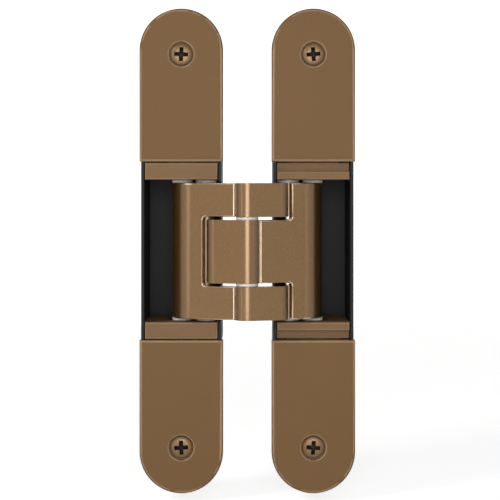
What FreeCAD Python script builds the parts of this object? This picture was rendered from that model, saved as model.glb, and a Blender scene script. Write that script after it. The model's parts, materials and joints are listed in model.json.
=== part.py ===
"""Concealed door hinge: two leaves sunk in frame and door, joined by two crossing arms.

The hinge stands open at 180 degrees, as it is seen from the room with the door wide open.
X runs across both leaves, Y runs into the wood, Z is up. The origin is the middle of the
frame leaf, in the plane of its cover plates. Lengths are millimetres.

Each arm turns on a fixed pivot in one leaf and slides on a pin in the other, and both turn
on one centre pin between the leaves. Arm outlines are drawn as (along, out) pairs from that
pin: along the leaves' width, and out of the wood towards the room.
"""
import FreeCAD, Part
import math
import os

V = FreeCAD.Vector

# Leaves and their cover plates
LEAF_LENGTH = 160.0
COVER_WIDTH = 27.6
LEAF_GAP_OPEN = 16.0
LEAF_GAP_CLOSED = 4.0
COVER_THICKNESS = 3.0
COVER_SKIN = 1.5
COVER_RIM = 1.9
COVER_GAP = 0.35
COVER_EDGE_ROUND = 0.8
COVER_OVERHANG = 0.55
COVER_SEAT_GAP = 0.1

# Housing
RIM_WALL = 0.95
RIM_TOP = 0.4
TRAY_WALL = 1.6
TRAY_FLOOR = 3.0
POCKET_END_GAP = 0.5
POCKET_FLOOR = 1.5
CORE_WALL = 1.6
CORE_PAST_ADJUSTER = 6.85
HOUSING_BACK_ROUND = 1.0
NOTCH_CLEARANCE = 0.5
RIB_THICKNESS = 1.4
RIB_TOP = 8.5

# Fixing screws and cover screws
FIXING_FROM_END = 7.0
FIXING_FOOT_GAP = 2.55
FIXING_HOLE_RADIUS = 2.9
FIXING_SINK_RADIUS = 4.3
FIXING_BOSS_RADIUS = 5.4
FIXING_BOSS_TOP = 8.0
COVER_SCREW_FROM_END = 15.1
COVER_SCREW_BOSS_RADIUS = 3.6
COVER_SCREW_HEAD_RADIUS = 3.5
COVER_SCREW_HEAD_HEIGHT = 1.5
COVER_SCREW_SINK = 0.35
COVER_SCREW_SHANK_RADIUS = 2.0
COVER_SCREW_LENGTH = 11.0
BLIND_HOLE_SPARE = 1.0
THREAD_GAP = 0.02
COVER_SCREW_WELL_RADIUS = 4.05
COVER_SCREW_CLEARANCE = 0.2
COVER_SCREW_COLLAR = 1.4
COVER_SCREW_WELL_EDGE = 0.3
COVER_SCREW_HEAD_ROUND = 0.5
CROSS_WIDTH = 0.8
CROSS_SPAN = 4.2
CROSS_DEPTH = 1.0

# Carriers: the blocks that hold the pivots, above and below the arms
CARRIER_SIDE_GAP = 0.3
CARRIER_THICKNESS = 5.6
CARRIER_FRONT = 0.3
CARRIER_BEHIND_GROOVE = 1.5
CARRIER_BACK_ROUND = 3.0
CARRIER_EDGE = 0.3
DOOR_LIP_HEIGHT = 2.8
FOOT_THICKNESS = 3.5
FOOT_RIM = 1.8
FOOT_ROUND = 3.0

# Adjustment: the frame carriers move in and out, the door leaf moves up and down
SIDE_TRAVEL = 3.0
HEIGHT_TRAVEL = 2.5
MOVING_GAP = 0.3
ADJUSTER_FROM_CARRIER = 6.9
SPINDLE_RADIUS = 3.0
SPINDLE_FRONT = 3.6
SPINDLE_FLANGE_RADIUS = 4.4
SPINDLE_FLANGE = 0.8
SPINDLE_SEAT_GAP = 0.1
SPINDLE_JOURNAL_RADIUS = 2.0
SPINDLE_TAIL = 1.7
SPINDLE_KEY_FLATS = 3.0
SPINDLE_KEY_DEPTH = 2.6
CLIP_RADIUS = 3.6
CLIP_NECK_RADIUS = 1.5
CLIP_THICKNESS = 0.6
CLIP_GRIP = 0.6
CLIP_RELIEF_RADIUS = 0.6
CLIP_RELIEF_ANGLES = (30.0, 150.0)
CLAMP_OFFSET = 4.6
CLAMP_SHANK_RADIUS = 2.0
CLAMP_SLOT_RADIUS = 2.25
CLAMP_HEAD_RADIUS = 3.5
CLAMP_HEAD_HEIGHT = 2.5
CLAMP_HEAD_EDGE = 0.3
CLAMP_KEY_FLATS = 3.0
CLAMP_KEY_DEPTH = 1.6
CLAMP_SCREW_LENGTH = 8.5
PAD_HALF_WIDTH = 3.3
PAD_HALF_LENGTH = 6.5

# Linkage
PIN_OUT = 4.0
PIVOT_SIDE_GAP = 0.4
PIVOT_DEPTH = 8.0
SLIDER_WALL = 1.84

# Arms
ARM_HALF_HEIGHT = 22.4
TONGUE_HALF_HEIGHT = 10.35
BARREL_RADIUS = 4.0
ARM_SLOPE = 16.2
PLATE_THICKNESS = 5.2
PLATE_TIP_ALONG = 4.05
PLATE_TIP_OUT = 1.5
PLATE_STEP_OUT = 0.4
WINDOW_GAP = 1.1
SPINE_BEND = 9.3
SPINE_INNER_ROUND = 1.6
TAIL_SIDE_FROM_PIVOT = 0.2
TAIL_BEND = 3.8
TAIL_UNDERSIDE_OUT = -3.5
TAIL_INNER_ROUND = 1.2
SLIDER_BOSS_RADIUS = 3.1
PIVOT_BOSS_RADIUS = 3.7
WINDOW_ROUND = 1.0
ARM_EDGE = 0.45
CUT_PAST = 4.0

# Pins, bushes and guide rollers
PIN_RADIUS = 2.5
SLIDER_PIN_RADIUS = 2.0
BUSH_RADIUS = 3.3
BUSH_FLANGE_STEP = 0.05
ROLLER_RADIUS = 3.0
ROLLER_FLANGE_STEP = 0.45
CENTRE_BUSH_RADIUS = 3.1
CENTRE_BUSH_LENGTH = 6.0
CENTRE_FLANGE_STEP = 0.35
FLANGE_THICKNESS = 1.0
ZONE_GAP = 1.0
FACE_GAP = 0.05
RUNNING_GAP = 0.04
GROOVE_GAP = 0.06
GROOVE_TOLERANCE = 0.02
HOLD_DEPTH = 5.0
PIN_CHAMFER = 0.3

# Worked out from the sizes above
LEAF_PITCH = COVER_WIDTH + LEAF_GAP_OPEN
HALF_PITCH = LEAF_PITCH / 2.0
HALF_LENGTH = LEAF_LENGTH / 2.0
COVER_HALF = COVER_WIDTH / 2.0
HOUSING_HALF = COVER_HALF - COVER_OVERHANG
POCKET_HALF = HOUSING_HALF - RIM_WALL
CARRIER_HALF_WIDTH = POCKET_HALF - CARRIER_SIDE_GAP
CARRIER_INNER = ARM_HALF_HEIGHT + FLANGE_THICKNESS + 2.0 * FACE_GAP
CARRIER_OUTER = CARRIER_INNER + CARRIER_THICKNESS
COVER_INNER_END = CARRIER_OUTER + COVER_GAP
HOUSING_END = HALF_LENGTH - COVER_OVERHANG
ADJUSTER_PLACE = CARRIER_OUTER + ADJUSTER_FROM_CARRIER
COVER_SCREW_PLACE = HALF_LENGTH - COVER_SCREW_FROM_END
FOOT_REACH = ADJUSTER_PLACE + CLAMP_SLOT_RADIUS + HEIGHT_TRAVEL + FOOT_RIM
FIXING_PLACES = (FOOT_REACH + HEIGHT_TRAVEL + FIXING_BOSS_RADIUS + FIXING_FOOT_GAP,
                 HALF_LENGTH - FIXING_FROM_END)
FOOT_FRONT = COVER_THICKNESS + SIDE_TRAVEL + MOVING_GAP
FOOT_BACK = FOOT_FRONT + FOOT_THICKNESS
TRAY_FLOOR_TOP = FOOT_BACK + SIDE_TRAVEL + MOVING_GAP
TRAY_BACK = TRAY_FLOOR_TOP + TRAY_FLOOR
DOOR_STEP_FRONT = COVER_THICKNESS + MOVING_GAP
PRONG_INNER = TONGUE_HALF_HEIGHT + ZONE_GAP
TANGENT = math.tan(math.radians(ARM_SLOPE))
PLATE_DROP = PLATE_THICKNESS / math.cos(math.radians(ARM_SLOPE))
PIVOT_OFFSET = POCKET_HALF - PIVOT_BOSS_RADIUS - PIVOT_SIDE_GAP
SLIDER_OFFSET = PIVOT_OFFSET - BUSH_RADIUS - SLIDER_WALL - GROOVE_GAP - ROLLER_RADIUS
TAIL_SIDE = HALF_PITCH - PIVOT_OFFSET - TAIL_SIDE_FROM_PIVOT
SPINE_WINDOW = TAIL_SIDE + WINDOW_GAP
BUSH_FLANGE_RADIUS = PIVOT_BOSS_RADIUS + BUSH_FLANGE_STEP
ROLLER_FLANGE_RADIUS = ROLLER_RADIUS + ROLLER_FLANGE_STEP
CENTRE_FLANGE_RADIUS = BARREL_RADIUS - CENTRE_FLANGE_STEP
BEND_LENGTH = SPINE_BEND / math.tan(math.radians(45.0 + ARM_SLOPE / 2.0))
BEND_START = (HALF_PITCH - SLIDER_OFFSET + SLIDER_BOSS_RADIUS
              - BEND_LENGTH * math.cos(math.radians(ARM_SLOPE)))


def link_angles():
    """Give the pivot turn, the slider turn and the slider's depths for a full closing.

    The centre pin stands PIN_OUT in front of the leaves when open, and half the closed gap
    in front of each leaf when closed. The slider's depth is the one at which the two arms
    together turn by exactly 180 degrees.
    """
    span = HALF_PITCH - PIVOT_OFFSET
    rise = PIN_OUT + PIVOT_DEPTH
    half_gap = LEAF_GAP_CLOSED / 2.0
    closed_rise = half_gap + PIVOT_DEPTH
    closed_span = math.sqrt(span ** 2 + rise ** 2 - closed_rise ** 2)
    pin_closed = PIVOT_OFFSET - closed_span
    pivot_turn = math.pi - math.atan2(closed_rise, closed_span) - math.atan2(rise, span)

    def slider(depth):
        reach = HALF_PITCH - SLIDER_OFFSET
        length = math.hypot(reach, PIN_OUT + depth)
        closed_drop = math.sqrt(length ** 2 - (SLIDER_OFFSET - pin_closed) ** 2)
        open_angle = math.atan2(PIN_OUT + depth, reach)
        closed_angle = math.atan2(closed_drop, SLIDER_OFFSET - pin_closed)
        turn = math.pi - open_angle - closed_angle
        return turn, closed_drop - half_gap, open_angle, length

    shallow, deep = 0.0, 40.0
    for _ in range(60):
        middle = (shallow + deep) / 2.0
        if slider(middle)[0] + pivot_turn > math.pi:
            shallow = middle
        else:
            deep = middle
    slider_turn, closed_depth, open_angle, length = slider(shallow)
    return pivot_turn, slider_turn, shallow, closed_depth, open_angle, length


(PIVOT_TURN, SLIDER_TURN, SLIDER_DEPTH, SLIDER_DEPTH_CLOSED, SLIDER_ANGLE,
 SLIDER_REACH) = link_angles()
CARRIER_BACK = SLIDER_DEPTH_CLOSED + ROLLER_RADIUS + CARRIER_BEHIND_GROOVE
POCKET_FLOOR_TOP = CARRIER_BACK + SIDE_TRAVEL + MOVING_GAP
POCKET_BACK = POCKET_FLOOR_TOP + POCKET_FLOOR


def slider_path(steps):
    """Give (x, depth) places of the slider pin in its leaf, from open to closed."""
    pivot_reach = math.hypot(HALF_PITCH - PIVOT_OFFSET, PIN_OUT + PIVOT_DEPTH)
    pivot_angle = math.atan2(PIN_OUT + PIVOT_DEPTH, HALF_PITCH - PIVOT_OFFSET)
    places = []
    for step in range(steps + 1):
        share = step / steps
        first = pivot_angle + PIVOT_TURN * share
        second = math.pi + SLIDER_ANGLE + SLIDER_TURN * share
        pin_x = PIVOT_OFFSET + pivot_reach * math.cos(first)
        pin_out = -PIVOT_DEPTH + pivot_reach * math.sin(first)
        x = pin_x + SLIDER_REACH * math.cos(second)
        out = pin_out + SLIDER_REACH * math.sin(second)
        places.append((x, -out))
    return places


# Plain shapes
def box(x0, x1, y0, y1, z0, z1):
    """Make a block from its low and high corners."""
    return Part.makeBox(x1 - x0, y1 - y0, z1 - z0, V(x0, y0, z0))


def rod_y(x, z, radius, y0, y1):
    """Make a round bar that runs into the wood."""
    return Part.makeCylinder(radius, y1 - y0, V(x, y0, z), V(0, 1, 0))


def rod_z(x, y, radius, z0, z1):
    """Make an upright round bar."""
    return Part.makeCylinder(radius, z1 - z0, V(x, y, z0), V(0, 0, 1))


def cone_y(x, z, r0, r1, y0, y1):
    """Make a cone that runs into the wood."""
    return Part.makeCone(r0, r1, y1 - y0, V(x, y0, z), V(0, 1, 0))


def hexagon_y(x, z, flats, y0, y1):
    """Make a six-sided bar that runs into the wood."""
    reach = flats / math.sqrt(3.0)
    corners = [V(x + reach * math.cos(math.radians(60 * i)), y0,
                 z + reach * math.sin(math.radians(60 * i))) for i in range(7)]
    return Part.Face(Part.makePolygon(corners)).extrude(V(0, y1 - y0, 0))


def stadium_y(half_width, half_length, y0, y1):
    """Make an upright slab with full round ends."""
    straight = half_length - half_width
    edges = [
        Part.LineSegment(V(half_width, y0, -straight), V(half_width, y0, straight)).toShape(),
        Part.Arc(V(half_width, y0, straight), V(0, y0, half_length),
                 V(-half_width, y0, straight)).toShape(),
        Part.LineSegment(V(-half_width, y0, straight), V(-half_width, y0, -straight)).toShape(),
        Part.Arc(V(-half_width, y0, -straight), V(0, y0, -half_length),
                 V(half_width, y0, -straight)).toShape(),
    ]
    return Part.Face(Part.Wire(edges)).extrude(V(0, y1 - y0, 0))


def slot_y(x, z, radius, half_length, y0, y1):
    """Make an upright slot cutter with round ends."""
    straight = half_length - radius
    slot = box(x - radius, x + radius, y0, y1, z - straight, z + straight)
    slot = slot.fuse(rod_y(x, z - straight, radius, y0, y1))
    return slot.fuse(rod_y(x, z + straight, radius, y0, y1)).removeSplitter()


def rounded_wire(corners, place):
    """Join corners (a, b, radius) by straight edges with tangent arcs at the corners.

    place turns an (a, b) pair into a point in space.
    """
    count = len(corners)
    entries = []
    for i, (a, b, radius) in enumerate(corners):
        before = corners[i - 1]
        after = corners[(i + 1) % count]
        back = V(before[0] - a, before[1] - b, 0).normalize()
        ahead = V(after[0] - a, after[1] - b, 0).normalize()
        here = V(a, b, 0)
        if radius <= 0.0:
            entries.append((here, None, here))
            continue
        half = back.getAngle(ahead) / 2.0
        trim = radius / math.tan(half)
        centre_line = (back + ahead).normalize()
        middle = here + centre_line * (radius / math.sin(half) - radius)
        entries.append((here + back * trim, middle, here + ahead * trim))
    edges = []
    for i, (start, middle, end) in enumerate(entries):
        if middle is not None:
            arc = Part.Arc(place(start.x, start.y), place(middle.x, middle.y), place(end.x, end.y))
            edges.append(arc.toShape())
        following = entries[(i + 1) % count][0]
        if (following - end).Length > 1e-6:
            edges.append(Part.LineSegment(place(end.x, end.y),
                                          place(following.x, following.y)).toShape())
    return Part.Wire(edges)


def upright_prism(corners, z0, z1):
    """Extrude an (x, y) outline with rounded corners upwards."""
    wire = rounded_wire(corners, lambda a, b: V(a, b, z0))
    return Part.Face(wire).extrude(V(0, 0, z1 - z0))


def inward_prism(corners, y0, y1):
    """Extrude an (x, z) outline with rounded corners into the wood."""
    wire = rounded_wire(corners, lambda a, b: V(a, y0, b))
    return Part.Face(wire).extrude(V(0, y1 - y0, 0))


def ease(shape, size, wanted, make="chamfer"):
    """Break the edges that a test picks out."""
    edges = [edge for edge in shape.Edges if wanted(edge)]
    if make == "chamfer":
        return shape.makeChamfer(size, edges)
    return shape.makeFillet(size, edges)


def upside_down(shape):
    """Mirror a piece of the upper half into the lower half."""
    return shape.mirror(V(0, 0, 0), V(0, 0, 1))


def door_side(shape):
    """Mirror a piece of the frame leaf into the door leaf."""
    return shape.mirror(V(HALF_PITCH, 0, 0), V(1, 0, 0))


# Housing
def end_ribs(side):
    """Make the ribs and bosses in one end of the tray."""
    first, last = FIXING_PLACES
    made = []
    for x in (-POCKET_HALF / 2.0, POCKET_HALF / 2.0):
        made.append(box(x - RIB_THICKNESS / 2.0, x + RIB_THICKNESS / 2.0, RIB_TOP,
                        TRAY_FLOOR_TOP, first - FIXING_BOSS_RADIUS, last))
    for place in (first, (first + COVER_SCREW_PLACE) / 2.0, COVER_SCREW_PLACE):
        made.append(box(-POCKET_HALF, POCKET_HALF, RIB_TOP, TRAY_FLOOR_TOP,
                        place - RIB_THICKNESS / 2.0, place + RIB_THICKNESS / 2.0))
    for place in FIXING_PLACES:
        made.append(rod_y(0, place, FIXING_BOSS_RADIUS, FIXING_BOSS_TOP, TRAY_FLOOR_TOP))
    made.append(rod_y(0, COVER_SCREW_PLACE, COVER_SCREW_BOSS_RADIUS, COVER_THICKNESS,
                      TRAY_FLOOR_TOP))
    whole = made[0].multiFuse(made[1:])
    return whole if side > 0 else upside_down(whole)


def end_holes(side):
    """Make the cutters for the fixing screws and the cover screw of one end."""
    made = []
    sink_depth = FIXING_SINK_RADIUS - FIXING_HOLE_RADIUS
    for place in FIXING_PLACES:
        made.append(rod_y(0, place, FIXING_HOLE_RADIUS, 0, TRAY_BACK + 1))
        made.append(cone_y(0, place, FIXING_SINK_RADIUS, FIXING_HOLE_RADIUS, FIXING_BOSS_TOP,
                           FIXING_BOSS_TOP + sink_depth))
        made.append(rod_y(0, place, FIXING_SINK_RADIUS, COVER_THICKNESS, FIXING_BOSS_TOP))
    made.append(rod_y(0, COVER_SCREW_PLACE, COVER_SCREW_SHANK_RADIUS + THREAD_GAP, 0,
                      COVER_SCREW_SINK + COVER_SCREW_LENGTH + BLIND_HOLE_SPARE))
    whole = made[0].multiFuse(made[1:])
    return whole if side > 0 else upside_down(whole)


def notch_depth(side_travel):
    """Give the depth of the rim's notch, which the arms' plates pass over."""
    plate_underside = out_of_plate(HALF_PITCH - POCKET_HALF) - PLATE_DROP
    return -PIN_OUT - plate_underside + side_travel + NOTCH_CLEARANCE


def round_back(shape, back):
    """Round the edges of a casting's flat back."""
    return ease(shape, HOUSING_BACK_ROUND,
                lambda edge: all(abs(vertex.Y - back) < 1e-6 for vertex in edge.Vertexes), "fillet")


def housing(side_travel, height_travel, web_places):
    """Make a die-cast housing: a deep pocket between two shallow trays.

    The pocket is longer by height_travel at both ends and its rim is lower by side_travel,
    to let the carriers move. Upright webs stiffen the hollows behind the trays.
    """
    pocket_end = CARRIER_OUTER + height_travel + POCKET_END_GAP
    deep_end = ADJUSTER_PLACE + CORE_PAST_ADJUSTER + height_travel
    body = round_back(stadium_y(HOUSING_HALF, HOUSING_END, COVER_THICKNESS, TRAY_BACK), TRAY_BACK)
    body = body.fuse(box(-HOUSING_HALF, HOUSING_HALF, RIM_TOP, COVER_THICKNESS,
                         -COVER_INNER_END + COVER_SEAT_GAP, COVER_INNER_END - COVER_SEAT_GAP))
    body = body.cut(stadium_y(HOUSING_HALF - TRAY_WALL, HOUSING_END - TRAY_WALL,
                              COVER_THICKNESS, TRAY_FLOOR_TOP))
    body = body.fuse(end_ribs(1)).fuse(end_ribs(-1))
    body = body.cut(end_holes(1)).cut(end_holes(-1))
    deep_start = TRAY_BACK - HOUSING_BACK_ROUND
    deep = round_back(stadium_y(HOUSING_HALF, deep_end, deep_start, POCKET_BACK), POCKET_BACK)
    core = stadium_y(HOUSING_HALF - CORE_WALL, deep_end - CORE_WALL, TRAY_BACK, POCKET_BACK)
    between = box(-HOUSING_HALF, HOUSING_HALF, TRAY_BACK, POCKET_BACK,
                  -pocket_end - CORE_WALL, pocket_end + CORE_WALL)
    core = core.cut(between)
    for x in web_places:
        core = core.cut(box(x - CORE_WALL / 2.0, x + CORE_WALL / 2.0, TRAY_BACK, POCKET_BACK,
                            -deep_end, deep_end))
    body = body.fuse(deep.cut(core)).removeSplitter()
    body = body.cut(box(-POCKET_HALF, POCKET_HALF, 0, POCKET_FLOOR_TOP, -pocket_end, pocket_end))
    notch = ARM_HALF_HEIGHT + NOTCH_CLEARANCE + height_travel
    body = body.cut(box(0, HOUSING_HALF + 1, 0, notch_depth(side_travel), -notch, notch))
    return body.removeSplitter()


def frame_housing():
    """Make the frame leaf's housing, with seats for the two side spindles."""
    web = CLIP_RADIUS + CORE_WALL
    body = housing(SIDE_TRAVEL, 0.0, (-web, web))
    for side in (1, -1):
        z = side * ADJUSTER_PLACE
        body = body.cut(rod_y(0, z, SPINDLE_FLANGE_RADIUS + SPINDLE_SEAT_GAP, TRAY_FLOOR_TOP,
                              TRAY_FLOOR_TOP + SPINDLE_FLANGE))
        body = body.cut(rod_y(0, z, SPINDLE_JOURNAL_RADIUS + RUNNING_GAP, TRAY_FLOOR_TOP,
                              TRAY_BACK))
    return body


def door_housing():
    """Make the door leaf's housing, with pads that the carriers' feet slide on."""
    body = housing(0.0, HEIGHT_TRAVEL, (0.0,))
    for side in (1, -1):
        for x in (-CLAMP_OFFSET, CLAMP_OFFSET):
            z = side * ADJUSTER_PLACE
            low = CARRIER_OUTER + HEIGHT_TRAVEL + POCKET_END_GAP
            high = ADJUSTER_PLACE + PAD_HALF_LENGTH
            pad = box(x - PAD_HALF_WIDTH, x + PAD_HALF_WIDTH, FOOT_BACK + FACE_GAP,
                      TRAY_FLOOR_TOP, low, high)
            body = body.fuse(pad if side > 0 else upside_down(pad))
            body = body.cut(rod_y(x, z, CLAMP_SHANK_RADIUS + THREAD_GAP, FOOT_BACK,
                                  FOOT_FRONT + CLAMP_SCREW_LENGTH + THREAD_GAP))
    return door_side(body.removeSplitter())


# Covers and their screws
def cover():
    """Make an upper cover plate, hollow underneath, with a sunk screw seat."""
    straight = HALF_LENGTH - COVER_HALF
    low, high = COVER_INNER_END, straight
    plate = box(-COVER_HALF, COVER_HALF, 0, COVER_THICKNESS, low, high)
    plate = plate.fuse(rod_y(0, high, COVER_HALF, 0, COVER_THICKNESS)).removeSplitter()
    plate = ease(plate, COVER_EDGE_ROUND,
                 lambda edge: all(abs(vertex.Y) < 1e-6 for vertex in edge.Vertexes), "fillet")
    inner = COVER_HALF - COVER_RIM
    hollow = box(-inner, inner, COVER_SKIN, COVER_THICKNESS, low + COVER_RIM, high)
    hollow = hollow.fuse(rod_y(0, high, inner, COVER_SKIN, COVER_THICKNESS)).removeSplitter()
    collar = COVER_SCREW_WELL_RADIUS + COVER_SCREW_COLLAR
    hollow = hollow.cut(rod_y(0, COVER_SCREW_PLACE, collar, 0, COVER_THICKNESS))
    plate = plate.cut(hollow)
    seat = COVER_SCREW_SINK + COVER_SCREW_HEAD_HEIGHT
    plate = plate.cut(rod_y(0, COVER_SCREW_PLACE, COVER_SCREW_WELL_RADIUS, 0, seat))
    plate = plate.cut(cone_y(0, COVER_SCREW_PLACE, COVER_SCREW_WELL_RADIUS + COVER_SCREW_WELL_EDGE,
                             COVER_SCREW_WELL_RADIUS, 0, COVER_SCREW_WELL_EDGE))
    return plate.cut(rod_y(0, COVER_SCREW_PLACE, COVER_SCREW_SHANK_RADIUS + COVER_SCREW_CLEARANCE,
                           0, COVER_THICKNESS))


def cross_recess(x, z, y0):
    """Make the cutter for a cross recess with a tapered floor."""
    half = CROSS_SPAN / 2.0
    arm = CROSS_WIDTH / 2.0
    across = box(x - half, x + half, y0, y0 + CROSS_DEPTH, z - arm, z + arm)
    upright = box(x - arm, x + arm, y0, y0 + CROSS_DEPTH, z - half, z + half)
    taper = cone_y(x, z, half, arm, y0, y0 + CROSS_DEPTH)
    return across.fuse(upright).common(taper)


def cover_screw(z):
    """Make one cover screw with a low domed head and a cross recess."""
    front = COVER_SCREW_SINK
    seat = front + COVER_SCREW_HEAD_HEIGHT
    head = rod_y(0, z, COVER_SCREW_HEAD_RADIUS, front, seat)
    head = ease(head, COVER_SCREW_HEAD_ROUND,
                lambda edge: all(abs(v.Y - front) < 1e-6 for v in edge.Vertexes), "fillet")
    shank = rod_y(0, z, COVER_SCREW_SHANK_RADIUS, seat, front + COVER_SCREW_LENGTH)
    screw = head.fuse(shank)
    return screw.cut(cross_recess(0, z, front))


# Carriers
def clear_of_path(line, path, half):
    """Leave out the points of a flank that a tight bend puts inside the channel itself."""
    least = half - GROOVE_TOLERANCE
    return [point for point in line
            if all(math.hypot(point.x - x, point.y - depth) > least for x, depth in path)]


def groove():
    """Make the cutter for the guide groove that the slider pin's roller runs in."""
    places = slider_path(8)
    fine = slider_path(400)
    half = ROLLER_RADIUS + GROOVE_GAP
    z0 = CARRIER_INNER
    inner, outer, runs = [], [], []
    for i, (x, depth) in enumerate(places):
        before, after = fine[max(i * 50 - 1, 0)], fine[min(i * 50 + 1, 400)]
        run = V(after[0] - before[0], after[1] - before[1], 0).normalize()
        side = V(-run.y, run.x, 0) * half
        runs.append(run)
        inner.append(V(x, depth, z0) + side)
        outer.append(V(x, depth, z0) - side)
    edges = []
    inner, outer = clear_of_path(inner, fine, half), clear_of_path(outer, fine, half)
    for line in (inner, outer):
        curve = Part.BSplineCurve()
        curve.interpolate(line)
        edges.append(curve.toShape())
    for i, away in ((0, -half), (-1, half)):
        tip = V(places[i][0], places[i][1], z0) + runs[i] * away
        edges.append(Part.Arc(inner[i], tip, outer[i]).toShape())
    wire = Part.Wire(Part.__sortEdges__(edges))
    return Part.Face(wire).extrude(V(0, 0, HOLD_DEPTH))


def carrier(lip_height, foot_half_width, foot_end, foot_cutter):
    """Make an upper carrier: an upright cheek with a foot that reaches under the cover."""
    half = CARRIER_HALF_WIDTH
    round_back = CARRIER_BACK_ROUND
    cheek = upright_prism([(-half, CARRIER_FRONT, 0), (half, CARRIER_FRONT, 0),
                           (half, CARRIER_BACK, round_back), (-half, CARRIER_BACK, round_back)],
                          CARRIER_INNER, CARRIER_OUTER)
    if lip_height < CARRIER_THICKNESS:
        cheek = cheek.cut(box(-half, half, 0, DOOR_STEP_FRONT, CARRIER_INNER + lip_height,
                              CARRIER_OUTER))
    cheek = ease(cheek, CARRIER_EDGE,
                 lambda edge: all(abs(v.Y - CARRIER_FRONT) < 1e-6 for v in edge.Vertexes))
    foot = inward_prism([(-foot_half_width, CARRIER_INNER, 0), (foot_half_width, CARRIER_INNER, 0),
                         (foot_half_width, foot_end, FOOT_ROUND),
                         (-foot_half_width, foot_end, FOOT_ROUND)], FOOT_FRONT, FOOT_BACK)
    block = cheek.fuse(foot).removeSplitter()
    block = block.cut(groove())
    block = block.cut(rod_z(PIVOT_OFFSET, PIVOT_DEPTH, BUSH_RADIUS, CARRIER_INNER,
                            CARRIER_INNER + HOLD_DEPTH))
    return block.cut(foot_cutter)


def frame_carrier():
    """Make the upper frame carrier, threaded on its side spindle."""
    hole = rod_y(0, ADJUSTER_PLACE, SPINDLE_RADIUS + RUNNING_GAP, FOOT_FRONT, FOOT_BACK)
    reach = SPINDLE_RADIUS + FOOT_RIM
    return carrier(CARRIER_THICKNESS, reach, ADJUSTER_PLACE + reach, hole)


def door_carrier():
    """Make the upper door carrier, slotted for its clamp screws."""
    half_length = CLAMP_SLOT_RADIUS + HEIGHT_TRAVEL
    slots = [slot_y(x, ADJUSTER_PLACE, CLAMP_SLOT_RADIUS, half_length, FOOT_FRONT, FOOT_BACK)
             for x in (-CLAMP_OFFSET, CLAMP_OFFSET)]
    half_width = CLAMP_OFFSET + CLAMP_SLOT_RADIUS + FOOT_RIM
    return door_side(carrier(DOOR_LIP_HEIGHT, half_width, FOOT_REACH, slots[0].fuse(slots[1])))


def side_spindle():
    """Make an upper side spindle: a threaded rod with a flange and a journal."""
    z = ADJUSTER_PLACE
    flange_back = TRAY_FLOOR_TOP + SPINDLE_FLANGE
    end = TRAY_BACK + SPINDLE_TAIL
    rod = rod_y(0, z, SPINDLE_RADIUS, SPINDLE_FRONT, TRAY_FLOOR_TOP)
    rod = rod.fuse(rod_y(0, z, SPINDLE_FLANGE_RADIUS, TRAY_FLOOR_TOP, flange_back))
    rod = rod.fuse(rod_y(0, z, SPINDLE_JOURNAL_RADIUS, flange_back, end)).removeSplitter()
    neck = rod_y(0, z, SPINDLE_JOURNAL_RADIUS + 1, TRAY_BACK + FACE_GAP,
                 TRAY_BACK + FACE_GAP + CLIP_THICKNESS)
    neck = neck.cut(rod_y(0, z, CLIP_NECK_RADIUS, TRAY_BACK, end))
    rod = rod.cut(neck)
    return rod.cut(hexagon_y(0, z, SPINDLE_KEY_FLATS, SPINDLE_FRONT,
                             SPINDLE_FRONT + SPINDLE_KEY_DEPTH))


def spindle_clip():
    """Make the retaining clip that holds an upper side spindle in its seat."""
    z = ADJUSTER_PLACE
    front = TRAY_BACK + FACE_GAP
    back = front + CLIP_THICKNESS
    clip = rod_y(0, z, CLIP_RADIUS, front, back).cut(rod_y(0, z, CLIP_NECK_RADIUS, front, back))
    half_mouth = CLIP_NECK_RADIUS - CLIP_GRIP / 2.0
    clip = clip.cut(box(-half_mouth, half_mouth, front, back, z, z + CLIP_RADIUS))
    for turn in CLIP_RELIEF_ANGLES:
        x = CLIP_NECK_RADIUS * math.cos(math.radians(turn))
        rise = CLIP_NECK_RADIUS * math.sin(math.radians(turn))
        clip = clip.cut(rod_y(x, z + rise, CLIP_RELIEF_RADIUS, front, back))
    return clip


def clamp_screw(x, z):
    """Make one socket-head clamp screw of the door leaf."""
    front = FOOT_FRONT - CLAMP_HEAD_HEIGHT
    head = rod_y(x, z, CLAMP_HEAD_RADIUS, front, FOOT_FRONT - FACE_GAP)
    head = ease(head, CLAMP_HEAD_EDGE,
                lambda edge: all(abs(v.Y - front) < 1e-6 for v in edge.Vertexes))
    screw = head.fuse(rod_y(x, z, CLAMP_SHANK_RADIUS, FOOT_FRONT - FACE_GAP,
                            FOOT_FRONT + CLAMP_SCREW_LENGTH))
    return screw.cut(hexagon_y(x, z, CLAMP_KEY_FLATS, front, front + CLAMP_KEY_DEPTH))


# Arms
def out_of_plate(along):
    """Give how far the plate's face stands out at a distance from the centre pin."""
    return PLATE_TIP_OUT - (along - PLATE_TIP_ALONG) * TANGENT


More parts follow.
